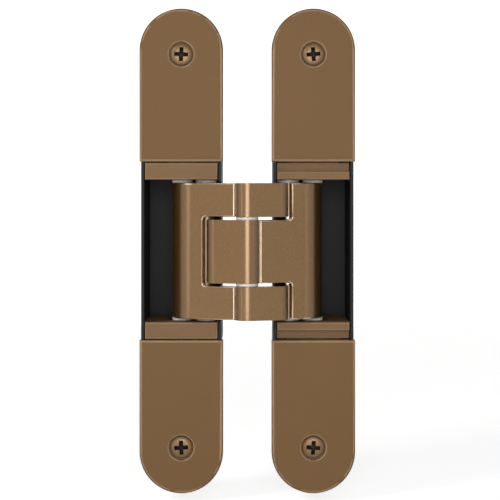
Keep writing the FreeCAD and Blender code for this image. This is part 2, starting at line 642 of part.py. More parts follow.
def arm_outline():
    """Give the arm's section as three outlines of (along, out, corner radius).

    The sliding side runs to negative along, the pivot side to positive.
    """
    slider_along = HALF_PITCH - SLIDER_OFFSET
    slider_out = -(PIN_OUT + SLIDER_DEPTH)
    outer = slider_along + SLIDER_BOSS_RADIUS
    inner = slider_along - SLIDER_BOSS_RADIUS
    within = BARREL_RADIUS / 4.0
    plate = [
        (-PLATE_TIP_ALONG, PLATE_TIP_OUT, 0),
        (-outer, out_of_plate(outer), SPINE_BEND),
        (-outer, slider_out, 0),
        (-inner, slider_out, 0),
        (-inner, out_of_plate(inner) - PLATE_DROP, SPINE_INNER_ROUND),
        (-within, out_of_plate(within) - PLATE_DROP, 0),
        (-within, PLATE_STEP_OUT, 0),
        (-PLATE_TIP_ALONG, PLATE_STEP_OUT, 0),
    ]
    pivot_along = HALF_PITCH - PIVOT_OFFSET
    pivot_out = -(PIN_OUT + PIVOT_DEPTH)
    crest_along = BARREL_RADIUS * math.sin(math.radians(ARM_SLOPE))
    crest_out = BARREL_RADIUS * math.cos(math.radians(ARM_SLOPE))
    near = pivot_along - PIVOT_BOSS_RADIUS
    tail = [
        (crest_along, crest_out, 0),
        (TAIL_SIDE, crest_out - (TAIL_SIDE - crest_along) * TANGENT, TAIL_BEND),
        (TAIL_SIDE, pivot_out, 0),
        (near, pivot_out, 0),
        (near, TAIL_UNDERSIDE_OUT, TAIL_INNER_ROUND),
        (within, TAIL_UNDERSIDE_OUT, 0),
        (within, 0, 0),
    ]
    return plate, tail, (slider_along, slider_out), (pivot_along, pivot_out)


def to_space(corners):
    """Turn (along, out, radius) corners into (x, y, radius) corners."""
    return [(HALF_PITCH + along, -PIN_OUT - out, radius) for along, out, radius in corners]


def arm_blank():
    """Make the full-height section that both arms are cut from, pivot side to the door."""
    plate, tail, slider, pivot = arm_outline()
    low, high = -ARM_HALF_HEIGHT, ARM_HALF_HEIGHT
    blank = upright_prism(to_space(plate), low, high)
    blank = blank.fuse(upright_prism(to_space(tail), low, high))
    blank = blank.fuse(rod_z(HALF_PITCH, -PIN_OUT, BARREL_RADIUS, low, high))
    blank = blank.fuse(rod_z(HALF_PITCH - slider[0], -PIN_OUT - slider[1],
                             SLIDER_BOSS_RADIUS, low, high))
    blank = blank.fuse(rod_z(HALF_PITCH + pivot[0], -PIN_OUT - pivot[1],
                             PIVOT_BOSS_RADIUS, low, high))
    return blank.removeSplitter()


def front_edges(edge):
    """Tell whether an edge lies on the plate's face, its window or its tip."""
    along_places = []
    for step in (0.0, 0.5, 1.0):
        first, last = edge.ParameterRange
        point = edge.valueAt(first + (last - first) * step)
        along = abs(point.x - HALF_PITCH)
        out = -PIN_OUT - point.y
        if abs(out - out_of_plate(along)) > 0.02:
            return False
        along_places.append(along)
    return min(along_places) > PLATE_TIP_ALONG - 0.1 and max(along_places) < BEND_START + 0.3


def fork_arm():
    """Make the fork arm: a full-height spine in the frame leaf and two prongs."""
    arm = arm_blank()
    front = -BARREL_RADIUS - PIN_OUT - CUT_PAST
    back = SLIDER_DEPTH + SLIDER_BOSS_RADIUS + CUT_PAST
    window = inward_prism([(HALF_PITCH - SPINE_WINDOW, -PRONG_INNER, WINDOW_ROUND),
                           (LEAF_PITCH, -PRONG_INNER, 0), (LEAF_PITCH, PRONG_INNER, 0),
                           (HALF_PITCH - SPINE_WINDOW, PRONG_INNER, WINDOW_ROUND)],
                          front, back)
    arm = arm.cut(window)
    arm = arm.cut(rod_z(HALF_PITCH, -PIN_OUT, PIN_RADIUS, -ARM_HALF_HEIGHT, ARM_HALF_HEIGHT))
    arm = arm.cut(rod_z(SLIDER_OFFSET, SLIDER_DEPTH, SLIDER_PIN_RADIUS, -ARM_HALF_HEIGHT,
                        ARM_HALF_HEIGHT))
    arm = arm.cut(rod_z(LEAF_PITCH - PIVOT_OFFSET, PIVOT_DEPTH, PIN_RADIUS, -ARM_HALF_HEIGHT,
                        ARM_HALF_HEIGHT))
    return ease(arm, ARM_EDGE, front_edges, "fillet")


def tongue_arm():
    """Make the tongue arm: a full-height spine in the door leaf and one middle tongue."""
    arm = door_side(arm_blank())
    front = -BARREL_RADIUS - PIN_OUT - CUT_PAST
    back = SLIDER_DEPTH + SLIDER_BOSS_RADIUS + CUT_PAST
    edge = HALF_PITCH + SPINE_WINDOW
    top = ARM_HALF_HEIGHT + CUT_PAST
    upper = inward_prism([(-COVER_HALF, TONGUE_HALF_HEIGHT, 0),
                          (edge, TONGUE_HALF_HEIGHT, WINDOW_ROUND),
                          (edge, top, 0), (-COVER_HALF, top, 0)], front, back)
    arm = arm.cut(upper).cut(upside_down(upper))
    arm = arm.fuse(rod_z(PIVOT_OFFSET, PIVOT_DEPTH, PIVOT_BOSS_RADIUS, -ARM_HALF_HEIGHT,
                         ARM_HALF_HEIGHT)).removeSplitter()
    bush = CENTRE_BUSH_LENGTH
    bore = rod_z(HALF_PITCH, -PIN_OUT, PIN_RADIUS + RUNNING_GAP, -ARM_HALF_HEIGHT, ARM_HALF_HEIGHT)
    for side in (1, -1):
        low, high = sorted((side * TONGUE_HALF_HEIGHT, side * (TONGUE_HALF_HEIGHT - bush)))
        bore = bore.fuse(rod_z(HALF_PITCH, -PIN_OUT, CENTRE_BUSH_RADIUS, low, high))
    arm = arm.cut(bore)
    arm = arm.cut(rod_z(PIVOT_OFFSET, PIVOT_DEPTH, PIN_RADIUS, -ARM_HALF_HEIGHT, ARM_HALF_HEIGHT))
    arm = arm.cut(rod_z(LEAF_PITCH - SLIDER_OFFSET, SLIDER_DEPTH, SLIDER_PIN_RADIUS,
                        -ARM_HALF_HEIGHT, ARM_HALF_HEIGHT))
    return ease(arm, ARM_EDGE, front_edges, "fillet")


# Pins, bushes and rollers
def pin(x, y, radius, half_length):
    """Make a pin with broken end edges."""
    rod = rod_z(x, y, radius, -half_length, half_length)
    return ease(rod, PIN_CHAMFER,
                lambda edge: all(abs(abs(v.Z) - half_length) < 1e-6 for v in edge.Vertexes))


def flanged_bush(x, y, bore, radius, flange_radius, flange_low, sleeve_low, sleeve_high):
    """Make an upper bush whose flange is one flange thickness high."""
    bush = rod_z(x, y, flange_radius, flange_low, flange_low + FLANGE_THICKNESS)
    bush = bush.fuse(rod_z(x, y, radius, sleeve_low, sleeve_high)).removeSplitter()
    return bush.cut(rod_z(x, y, bore, min(flange_low, sleeve_low), sleeve_high + FLANGE_THICKNESS))


def pivot_bush():
    """Make the upper pivot bush of the frame leaf."""
    low = ARM_HALF_HEIGHT + FACE_GAP
    return flanged_bush(PIVOT_OFFSET, PIVOT_DEPTH, PIN_RADIUS + RUNNING_GAP, BUSH_RADIUS,
                        BUSH_FLANGE_RADIUS, low, low, CARRIER_INNER + HOLD_DEPTH)


def guide_roller():
    """Make the upper guide roller of the frame leaf, with its flange below the carrier."""
    low = ARM_HALF_HEIGHT + FACE_GAP
    return flanged_bush(SLIDER_OFFSET, SLIDER_DEPTH, SLIDER_PIN_RADIUS + RUNNING_GAP,
                        ROLLER_RADIUS, ROLLER_FLANGE_RADIUS, low, low,
                        CARRIER_INNER + HOLD_DEPTH - 2.0 * FACE_GAP)


def centre_bush():
    """Make the upper bush of the centre pin, its flange between tongue and prong."""
    flange_high = PRONG_INNER - FACE_GAP
    bush = rod_z(HALF_PITCH, -PIN_OUT, CENTRE_FLANGE_RADIUS, TONGUE_HALF_HEIGHT, flange_high)
    bush = bush.fuse(rod_z(HALF_PITCH, -PIN_OUT, CENTRE_BUSH_RADIUS,
                           TONGUE_HALF_HEIGHT - CENTRE_BUSH_LENGTH, TONGUE_HALF_HEIGHT))
    bush = bush.removeSplitter()
    return bush.cut(rod_z(HALF_PITCH, -PIN_OUT, PIN_RADIUS + RUNNING_GAP, 0, ARM_HALF_HEIGHT))


def both_halves(shape):
    """Join an upper piece and its mirrored lower twin in one node."""
    return Part.makeCompound([shape, upside_down(shape)])


def build():
    """Make every node of the hinge."""
    upper_cover = cover()
    frame_block = frame_carrier()
    door_block = door_carrier()
    spindle = side_spindle()
    clip = spindle_clip()
    bushes = both_halves(pivot_bush())
    rollers = both_halves(guide_roller())
    screws = Part.makeCompound([cover_screw(side * COVER_SCREW_PLACE) for side in (1, -1)])
    clamps = [clamp_screw(x, side * ADJUSTER_PLACE) for side in (1, -1)
              for x in (-CLAMP_OFFSET, CLAMP_OFFSET)]
    pivot_pin_half = CARRIER_INNER + HOLD_DEPTH - 2.0 * FACE_GAP
    return {
        "frame_housing": frame_housing(),
        "frame_cover_top": upper_cover,
        "frame_cover_bottom": upside_down(upper_cover),
        "frame_cover_screws": screws,
        "side_spindle_top": spindle,
        "side_spindle_bottom": upside_down(spindle),
        "spindle_clip_top": clip,
        "spindle_clip_bottom": upside_down(clip),
        "frame_carrier_top": frame_block,
        "frame_carrier_bottom": upside_down(frame_block),
        "frame_pivot_bushes": bushes,
        "tongue_arm": tongue_arm(),
        "frame_pivot_pin": pin(PIVOT_OFFSET, PIVOT_DEPTH, PIN_RADIUS, pivot_pin_half),
        "door_slide_pin": pin(LEAF_PITCH - SLIDER_OFFSET, SLIDER_DEPTH, SLIDER_PIN_RADIUS,
                              pivot_pin_half),
        "centre_bushes": both_halves(centre_bush()),
        "fork_arm": fork_arm(),
        "centre_pin": pin(HALF_PITCH, -PIN_OUT, PIN_RADIUS, ARM_HALF_HEIGHT - FACE_GAP),
        "frame_slide_pin": pin(SLIDER_OFFSET, SLIDER_DEPTH, SLIDER_PIN_RADIUS, pivot_pin_half),
        "door_pivot_pin": pin(LEAF_PITCH - PIVOT_OFFSET, PIVOT_DEPTH, PIN_RADIUS, pivot_pin_half),
        "frame_guide_rollers": rollers,
        "door_guide_rollers": door_side(rollers),
        "door_carrier_top": door_block,
        "door_carrier_bottom": upside_down(door_block),
        "door_pivot_bushes": door_side(bushes),
        "door_housing": door_housing(),
        "door_cover_top": door_side(upper_cover),
        "door_cover_bottom": door_side(upside_down(upper_cover)),
        "door_cover_screws": door_side(screws),
        "height_clamp_screws": door_side(Part.makeCompound(clamps)),
    }


os.makedirs("parts", exist_ok=True)
for node, shape in build().items():
    shape.exportStep(f"parts/{node}.step")
    if not shape.isValid():
        print("not valid:", node)
print("pivot turn", math.degrees(PIVOT_TURN), "slider turn", math.degrees(SLIDER_TURN))
print("slider depths", SLIDER_DEPTH, SLIDER_DEPTH_CLOSED)
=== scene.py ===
"""Studio scene of a concealed door hinge, dressed over its fixed CAD frame.

The hinge stands open at 180 degrees in front of a white backdrop: two slim leaves with bronze
lacquered cover plates, black castings behind them, and two crossing arms on white bushes.
Lengths are metres, in the CAD frame: X across the leaves, Y into the wood, Z up.
"""
from __future__ import annotations

import json
import logging
import math
from dataclasses import dataclass
from enum import Enum

import bmesh
import bpy
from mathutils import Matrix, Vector

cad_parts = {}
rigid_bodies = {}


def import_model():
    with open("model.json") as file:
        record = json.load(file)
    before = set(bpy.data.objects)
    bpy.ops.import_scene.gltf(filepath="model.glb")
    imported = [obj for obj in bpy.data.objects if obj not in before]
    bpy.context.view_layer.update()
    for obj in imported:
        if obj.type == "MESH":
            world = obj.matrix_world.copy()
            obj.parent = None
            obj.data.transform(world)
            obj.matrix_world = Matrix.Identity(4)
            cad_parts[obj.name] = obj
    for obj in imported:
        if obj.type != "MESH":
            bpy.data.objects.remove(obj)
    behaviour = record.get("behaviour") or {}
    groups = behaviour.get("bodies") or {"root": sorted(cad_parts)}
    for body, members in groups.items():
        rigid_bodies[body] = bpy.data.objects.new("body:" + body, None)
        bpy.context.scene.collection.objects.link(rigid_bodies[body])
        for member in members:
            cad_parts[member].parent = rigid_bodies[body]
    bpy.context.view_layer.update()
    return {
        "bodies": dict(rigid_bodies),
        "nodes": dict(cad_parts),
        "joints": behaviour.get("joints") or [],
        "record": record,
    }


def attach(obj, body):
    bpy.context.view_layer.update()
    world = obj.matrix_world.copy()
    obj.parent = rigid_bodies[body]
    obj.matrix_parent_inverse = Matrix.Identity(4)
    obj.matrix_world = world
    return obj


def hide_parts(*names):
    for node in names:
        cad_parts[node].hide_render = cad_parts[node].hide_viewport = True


LOG = logging.getLogger("hinge")
MM = 0.001
# Name of the face mask that the materials tint: broken edges lighter, partly lacquer worn thin and partly
# a painted edge highlight, and screw recesses dark, a painted shade.
WEAR_AND_PAINTED_LIGHT = "wear_and_painted_light"
CAST_SMOOTH_ANGLE = 32.0
TURNED_SMOOTH_ANGLE = 34.0

Point = tuple[float, float, float]


def linear(red: int, green: int, blue: int) -> tuple[float, float, float, float]:
    """Turn a display colour into a linear one.

    Args:
        red: Red from 0 to 255.
        green: Green from 0 to 255.
        blue: Blue from 0 to 255.

    Returns:
        The linear red, green, blue and an alpha of 1.
    """
    def channel(value: int) -> float:
        """Turn one display value into a linear one."""
        share = value / 255.0
        return share / 12.92 if share <= 0.04045 else ((share + 0.055) / 1.055) ** 2.4

    return channel(red), channel(green), channel(blue), 1.0


class Leaf(Enum):
    """The two leaves of the hinge, by the names that their bodies and nodes begin with."""

    FRAME = "frame"
    DOOR = "door"


class End(Enum):
    """The two ends of a leaf."""

    TOP = "top"
    BOTTOM = "bottom"


# Shader groups
class ShaderGroup:
    """A node group for materials, built once and placed in each with its own values."""

    def __init__(self, name: str) -> None:
        """Make the empty group with its input and output nodes.

        Args:
            name: The group's name.
        """
        self.tree = bpy.data.node_groups.new(name, "ShaderNodeTree")
        self.inputs = self.tree.nodes.new("NodeGroupInput")
        self.outputs = self.tree.nodes.new("NodeGroupOutput")

    def takes(self, name: str, kind: str, value: float | tuple[float, ...]) -> None:
        """Add a named input.

        Args:
            name: The socket's name.
            kind: Float, Color or Vector.
            value: Its default value.
        """
        socket = self.tree.interface.new_socket(name, in_out="INPUT", socket_type="NodeSocket" + kind)
        socket.default_value = value

    def gives(self, name: str, kind: str) -> None:
        """Add a named output."""
        self.tree.interface.new_socket(name, in_out="OUTPUT", socket_type="NodeSocket" + kind)

    def node(self, kind: str, **settings: object) -> bpy.types.Node:
        """Add a node.

        Args:
            kind: The node's type without its ShaderNode prefix.
            settings: Properties to set on it.

        Returns:
            The new node.
        """
        made = self.tree.nodes.new("ShaderNode" + kind)
        for key, value in settings.items():
            setattr(made, key, value)
        return made

    def link(self, source: bpy.types.NodeSocket, target: bpy.types.NodeSocket) -> None:
        """Join two sockets."""
        self.tree.links.new(source, target)

    def math(self, operation: str, first: object, second: object = 0.0) -> bpy.types.NodeSocket:
        """Add a math node.

        Args:
            operation: The node's operation.
            first: A socket or a number.
            second: A socket or a number.

        Returns:
            The node's output socket.
        """
        made = self.node("Math", operation=operation)
        for socket, value in zip(made.inputs, (first, second)):
            if isinstance(value, bpy.types.NodeSocket):
                self.link(value, socket)
            else:
                socket.default_value = value
        return made.outputs[0]

    def blend(self, factor: object, first: object, second: object) -> bpy.types.NodeSocket:
        """Mix two colours.

        Args:
            factor: A socket or a number.
            first: The colour socket at 0.
            second: The colour socket at 1.

        Returns:
            The mixed colour's socket.
        """
        made = self.node("Mix", data_type="RGBA")
        for number, value in ((0, factor), (6, first), (7, second)):
            socket = made.inputs[number]
            if isinstance(value, bpy.types.NodeSocket):
                self.link(value, socket)
            else:
                socket.default_value = value
        return made.outputs[2]


def build_flake_group() -> bpy.types.NodeTree:
    """Make the group for lacquer with fine metal flakes, or for a fine cast grain.

    Returns:
        The group, with outputs Colour, Roughness and Height.
    """
    group = ShaderGroup("flake_grain")
    group.takes("Colour", "Color", (0.2, 0.12, 0.06, 1.0))
    group.takes("Flake Colour", "Color", (0.4, 0.3, 0.2, 1.0))
    group.takes("Hollow Colour", "Color", (0.1, 0.05, 0.03, 1.0))
    group.takes("Grain Scale", "Float", 2600.0)
    group.takes("Flakes", "Float", 0.4)
    group.takes("Clouding", "Float", 0.2)
    group.takes("Roughness", "Float", 0.4)
    group.takes("Roughness Spread", "Float", 0.1)
    for name, kind in (("Colour", "Color"), ("Roughness", "Float"), ("Height", "Float")):
        group.gives(name, kind)
    given = group.inputs.outputs
    place = group.node("TexCoord").outputs["Object"]
    grain = group.node("TexNoise", noise_dimensions="3D")
    grain.inputs["Detail"].default_value = 3.0
    grain.inputs["Roughness"].default_value = 0.65
    group.link(place, grain.inputs["Vector"])
    group.link(given["Grain Scale"], grain.inputs["Scale"])
    cloud = group.node("TexNoise", noise_dimensions="3D")
    cloud.inputs["Scale"].default_value = 95.0
    cloud.inputs["Detail"].default_value = 3.0
    group.link(place, cloud.inputs["Vector"])
    spark = group.node("MapRange", interpolation_type="SMOOTHSTEP")
    spark.inputs["From Min"].default_value = 0.52
    spark.inputs["From Max"].default_value = 0.74
    group.link(grain.outputs["Fac"], spark.inputs["Value"])
    hollow = group.node("MapRange", interpolation_type="SMOOTHSTEP")
    hollow.inputs["From Min"].default_value = 0.48
    hollow.inputs["From Max"].default_value = 0.28
    group.link(grain.outputs["Fac"], hollow.inputs["Value"])
    lit = group.blend(group.math("MULTIPLY", spark.outputs[0], given["Flakes"]),
                      given["Colour"], given["Flake Colour"])
    pitted = group.blend(group.math("MULTIPLY", hollow.outputs[0], given["Flakes"]),
                         lit, given["Hollow Colour"])
    shade = group.node("MapRange")
    shade.inputs["From Min"].default_value = 0.35
    shade.inputs["From Max"].default_value = 0.65
    group.link(cloud.outputs["Fac"], shade.inputs["Value"])
    clouded = group.blend(group.math("MULTIPLY", shade.outputs[0], given["Clouding"]),
                          pitted, given["Hollow Colour"])
    group.link(clouded, group.outputs.inputs["Colour"])
    spread = group.math("MULTIPLY", group.math("SUBTRACT", grain.outputs["Fac"], 0.5),
                        given["Roughness Spread"])
    group.link(group.math("ADD", given["Roughness"], spread), group.outputs.inputs["Roughness"])
    group.link(grain.outputs["Fac"], group.outputs.inputs["Height"])
    return group.tree


def build_wear_and_light_group() -> bpy.types.NodeTree:
    """Make the group that tints the colour where the edge mask is set: lighter on broken edges, partly
    lacquer worn thin and partly a painted edge highlight, and dark in screw recesses, a painted shade.

    Returns:
        The group, with outputs Colour and Roughness.
    """
    group = ShaderGroup("edge_wear_and_painted_light")
    group.takes("Colour", "Color", (0.2, 0.12, 0.06, 1.0))
    group.takes("Edge Wear And Light Colour", "Color", (0.5, 0.4, 0.3, 1.0))
    group.takes("Roughness", "Float", 0.4)
    group.takes("Edge Wear And Light Roughness", "Float", 0.3)
    group.takes("Mask", "Float", 0.0)
    group.gives("Colour", "Color")
    group.gives("Roughness", "Float")
    given = group.inputs.outputs
    patches = group.node("TexNoise", noise_dimensions="3D")
    patches.inputs["Scale"].default_value = 420.0
    group.link(group.node("TexCoord").outputs["Object"], patches.inputs["Vector"])
    broken = group.node("MapRange")
    broken.inputs["From Min"].default_value = 0.3
    broken.inputs["From Max"].default_value = 0.55
    broken.inputs["To Min"].default_value = 0.86
    group.link(patches.outputs["Fac"], broken.inputs["Value"])
    amount = group.math("MULTIPLY", given["Mask"], broken.outputs[0])
    group.link(group.blend(amount, given["Colour"], given["Edge Wear And Light Colour"]),
               group.outputs.inputs["Colour"])
    drop = group.math("MULTIPLY", group.math("SUBTRACT", given["Edge Wear And Light Roughness"],
                                             given["Roughness"]), amount)
    group.link(group.math("ADD", given["Roughness"], drop), group.outputs.inputs["Roughness"])
    return group.tree


# Finishes
@dataclass(frozen=True)
class Finish:
    """A surface finish: its colours, its grain and how it shines."""

    name: str
    colour: tuple[int, int, int]
    flake: tuple[int, int, int]
    hollow: tuple[int, int, int]
    # Colour of the marked faces: on edges lighter, partly lacquer worn thin and partly a painted edge
    # highlight; on the screws the dark of the recess, a painted shade.
    wear_and_painted_light: tuple[int, int, int]
    metallic: float
    roughness: float
    roughness_spread: float = 0.1
    wear_and_light_roughness: float = 0.3
    wear_and_light_strength: float = 0.6
    grain_scale: float = 2600.0
    flakes: float = 0.4
    clouding: float = 0.2
    bump: float = 0.1
    bump_depth: float = 0.00004
    gloss: float = 0.5
    coat: float = 0.0
    coat_roughness: float = 0.25


class Finisher:
    """Turns finishes into materials, with one shared set of shader groups."""

    def __init__(self) -> None:
        """Build the groups that the materials share."""
        self.flake = build_flake_group()
        self.wear_and_painted_light = build_wear_and_light_group()
        self.made: dict[str, bpy.types.Material] = {}

    def material(self, finish: Finish) -> bpy.types.Material:
        """Give the material of a finish, made once.

        Args:
            finish: The finish.

        Returns:
            The material.
        """
        if finish.name in self.made:
            return self.made[finish.name]
        material = bpy.data.materials.new(finish.name)
        material.use_nodes = True
        nodes, links = material.node_tree.nodes, material.node_tree.links
        shader = nodes["Principled BSDF"]
        grain = nodes.new("ShaderNodeGroup")
        grain.node_tree = self.flake
        for socket, value in (("Colour", linear(*finish.colour)),
                              ("Flake Colour", linear(*finish.flake)),
                              ("Hollow Colour", linear(*finish.hollow)),
                              ("Grain Scale", finish.grain_scale), ("Flakes", finish.flakes),
                              ("Clouding", finish.clouding), ("Roughness", finish.roughness),
                              ("Roughness Spread", finish.roughness_spread)):
            grain.inputs[socket].default_value = value
        marked_tint = nodes.new("ShaderNodeGroup")
        marked_tint.node_tree = self.wear_and_painted_light
        marked_tint.inputs["Edge Wear And Light Colour"].default_value = linear(*finish.wear_and_painted_light)
        marked_tint.inputs["Edge Wear And Light Roughness"].default_value = finish.wear_and_light_roughness
        links.new(grain.outputs["Colour"], marked_tint.inputs["Colour"])
        links.new(grain.outputs["Roughness"], marked_tint.inputs["Roughness"])
        links.new(self.mask(material, finish), marked_tint.inputs["Mask"])
        links.new(marked_tint.outputs["Colour"], shader.inputs["Base Color"])
        links.new(marked_tint.outputs["Roughness"], shader.inputs["Roughness"])
        bump = nodes.new("ShaderNodeBump")
        bump.inputs["Strength"].default_value = finish.bump
        bump.inputs["Distance"].default_value = finish.bump_depth
        links.new(grain.outputs["Height"], bump.inputs["Height"])
        links.new(bump.outputs["Normal"], shader.inputs["Normal"])
        shader.inputs["Metallic"].default_value = finish.metallic
        shader.inputs["Coat Weight"].default_value = finish.coat
        shader.inputs["Coat Roughness"].default_value = finish.coat_roughness
        shader.inputs["Specular IOR Level"].default_value = finish.gloss
        self.made[finish.name] = material
        return material

    def mask(self, material: bpy.types.Material, finish: Finish) -> bpy.types.NodeSocket:
        """Weigh the mask of marked faces by the finish's strength; it lightens edges, partly as worn
        lacquer and partly as a painted highlight, and darkens screw recesses as painted shade.

        Args:
            material: The material that the nodes go in.
            finish: The finish.

        Returns:
            The socket that gives the mask.
        """
        nodes, links = material.node_tree.nodes, material.node_tree.links
        edge = nodes.new("ShaderNodeAttribute")
        edge.attribute_name = WEAR_AND_PAINTED_LIGHT
        times = nodes.new("ShaderNodeMath")
        times.operation = "MULTIPLY"
        times.inputs[1].default_value = finish.wear_and_light_strength
        links.new(edge.outputs["Fac"], times.inputs[0])
        return times.outputs[0]


# The fourth colour of each finish tints the marked faces: on edges a lighter colour, partly lacquer worn
# thin and partly a painted edge highlight.
PLATE_LACQUER = Finish("bronze_plate_lacquer", (124, 94, 61), (152, 121, 86), (96, 70, 42),
                       (196, 168, 134), metallic=0.1, roughness=0.62, flakes=0.3, clouding=0.05,
                       bump=0.2, wear_and_light_strength=0.5, gloss=0.2)
ARM_LACQUER = Finish("bronze_arm_lacquer", (116, 85, 45), (156, 122, 80), (80, 54, 26),
                     (238, 214, 186), metallic=0.7, roughness=0.33, flakes=0.36, clouding=0.05,
                     bump=0.18, wear_and_light_strength=0.65, gloss=0.2, coat=0.85, coat_roughness=0.2)
CARRIER_LACQUER = Finish("bronze_carrier_lacquer", (124, 95, 64), (152, 121, 88), (94, 68, 43),
                         (206, 178, 144), metallic=0.15, roughness=0.55, flakes=0.3, clouding=0.08,
                         bump=0.2, wear_and_light_strength=0.4, gloss=0.25)
# The screws' marked colour is painted shade: the dark of their cross recess, which is marked in place of
# edges
SCREW_LACQUER = Finish("bronze_screw_lacquer", (126, 99, 70), (164, 136, 104), (88, 64, 40),
                       (34, 23, 14), metallic=0.4, roughness=0.36, flakes=0.35, clouding=0.12,
                       bump=0.2, wear_and_light_roughness=0.6, wear_and_light_strength=1.0, grain_scale=3200.0,
                       gloss=0.3)
BLACK_CASTING = Finish("black_casting", (32, 33, 33), (50, 50, 49), (14, 15, 14), (92, 92, 91),
                       metallic=0.0, roughness=0.5, flakes=0.4, clouding=0.15, bump=0.25,
                       wear_and_light_strength=0.35, grain_scale=1900.0, gloss=0.15)
WHITE_POLYMER = Finish("white_bearing_polymer", (243, 240, 236), (250, 249, 247), (222, 218, 212),
                       (252, 251, 249), metallic=0.0, roughness=0.38, flakes=0.2, clouding=0.15,
                       bump=0.06, wear_and_light_strength=0.2, grain_scale=1500.0)
GROUND_STEEL = Finish("ground_steel", (186, 184, 180), (216, 214, 210), (128, 126, 122),
                      (228, 226, 222), metallic=1.0, roughness=0.28, flakes=0.3, clouding=0.2,
                      bump=0.1, grain_scale=3600.0)
PLATED_STEEL = Finish("zinc_plated_steel", (178, 180, 184), (212, 214, 218), (120, 122, 128),
                      (222, 224, 228), metallic=1.0, roughness=0.35, flakes=0.35, clouding=0.3,
                      bump=0.12, grain_scale=2400.0)


# Pieces
def finished_mesh(piece: bpy.types.Object) -> bpy.types.Object:
    """Turn a piece's modifiers into plain mesh.

    Args:
        piece: A mesh object with live modifiers.

    Returns:
        The same object, with the evaluated mesh and no modifiers.
    """
    bpy.context.view_layer.update()
    graph = bpy.context.evaluated_depsgraph_get()
    mesh = bpy.data.meshes.new_from_object(piece.evaluated_get(graph), depsgraph=graph)
    mesh.name = piece.name
    piece.modifiers.clear()
    piece.data = mesh
    return piece


@dataclass
class CastPiece:
    """A rigid piece that keeps its CAD form and gets the broken edges of a cast one."""

    node: str
    body: str
    slot: str
    finish: Finish
    edge: float = 0.00012
    segments: int = 2
    sharp_angle: float = 28.0
    round_width: float = 0.00034
    round_angle: float = 9.0
    merge_distance: float = 0.000002
    flat_angle: float = 0.6
    normal_weight: int = 100

    def build(self, finisher: Finisher) -> bpy.types.Object:
        """Copy the node, close it, break its edges and dress it.

        Args:
            finisher: Makes the material.

        Returns:
            The new piece, which stands for the node.
        """
        source = FRAME["nodes"][self.node]
        piece = bpy.data.objects.new(self.node + "_dressed", source.data.copy())
        bpy.context.scene.collection.objects.link(piece)
        mesh = piece.data
        mesh.materials.clear()
        mesh.materials.append(finisher.material(self.finish))
        mesh.materials.append(finisher.material(self.finish))
        self.close(piece)
        bevel = piece.modifiers.new("broken_edges", "BEVEL")
        bevel.width = self.edge
        bevel.segments = self.segments
        bevel.limit_method = "ANGLE"
        bevel.angle_limit = math.radians(self.sharp_angle)
        bevel.use_clamp_overlap = True
        bevel.harden_normals = False
        # Bevel faces take material index 1, which becomes the edge mask: a lighter colour, partly worn
        # lacquer and partly a painted highlight.
        bevel.material = 1
        finished_mesh(piece)
        self.mark_edges(piece.data)
        even = piece.modifiers.new("even_normals", "WEIGHTED_NORMAL")
        even.mode = "FACE_AREA"
        even.weight = self.normal_weight
        even.keep_sharp = True
        finished_mesh(piece)
        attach(piece, self.body)
        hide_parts(self.node)
        return piece

    def close(self, piece: bpy.types.Object) -> None:
        """Merge the copy's loose triangles, join its flat ones and mark its narrow rounds for the lighter
        edge colour, partly a painted highlight.
        """
        work = bmesh.new()
        work.from_mesh(piece.data)
        bmesh.ops.remove_doubles(work, verts=work.verts, dist=self.merge_distance)
        bmesh.ops.dissolve_limit(work, angle_limit=math.radians(self.flat_angle),
                                 verts=work.verts, edges=work.edges, use_dissolve_boundaries=False)
        for face in work.faces:
            width = face.calc_area() / max(edge.calc_length() for edge in face.edges)
            turn = max(edge.calc_face_angle(0.0) for edge in face.edges)
            narrow = width < self.round_width and turn > math.radians(self.round_angle)
            face.material_index = 1 if narrow else 0
        work.to_mesh(piece.data)
        work.free()

    def mark_edges(self, mesh: bpy.types.Mesh) -> None:
        """Store which faces are broken edges, for a lighter colour that is partly worn lacquer and partly
        a painted highlight, and shade the piece smooth between sharp ones.
        """
        marks = mesh.attributes.new(WEAR_AND_PAINTED_LIGHT, "FLOAT", "CORNER")
        values = [0.0] * len(mesh.loops)
        for polygon in mesh.polygons:
            if polygon.material_index == 1:
                for loop in polygon.loop_indices:
                    values[loop] = 1.0
            polygon.material_index = 0
        marks.data.foreach_set("value", values)
        mesh.materials.pop(index=1)
        mesh.shade_smooth()
        mesh.set_sharp_from_angle(angle=math.radians(CAST_SMOOTH_ANGLE))


@dataclass
class CadPiece:
    """A small piece that shows its CAD form as it is and only gets a finish."""

    node: str
    finish: Finish

    def build(self, finisher: Finisher) -> bpy.types.Object:
        """Give the node its material.

        Args:
            finisher: Makes the material.

        Returns:
            The node's object.
        """
        piece = FRAME["nodes"][self.node]
        piece.data.materials.clear()
        piece.data.materials.append(finisher.material(self.finish))
        return piece


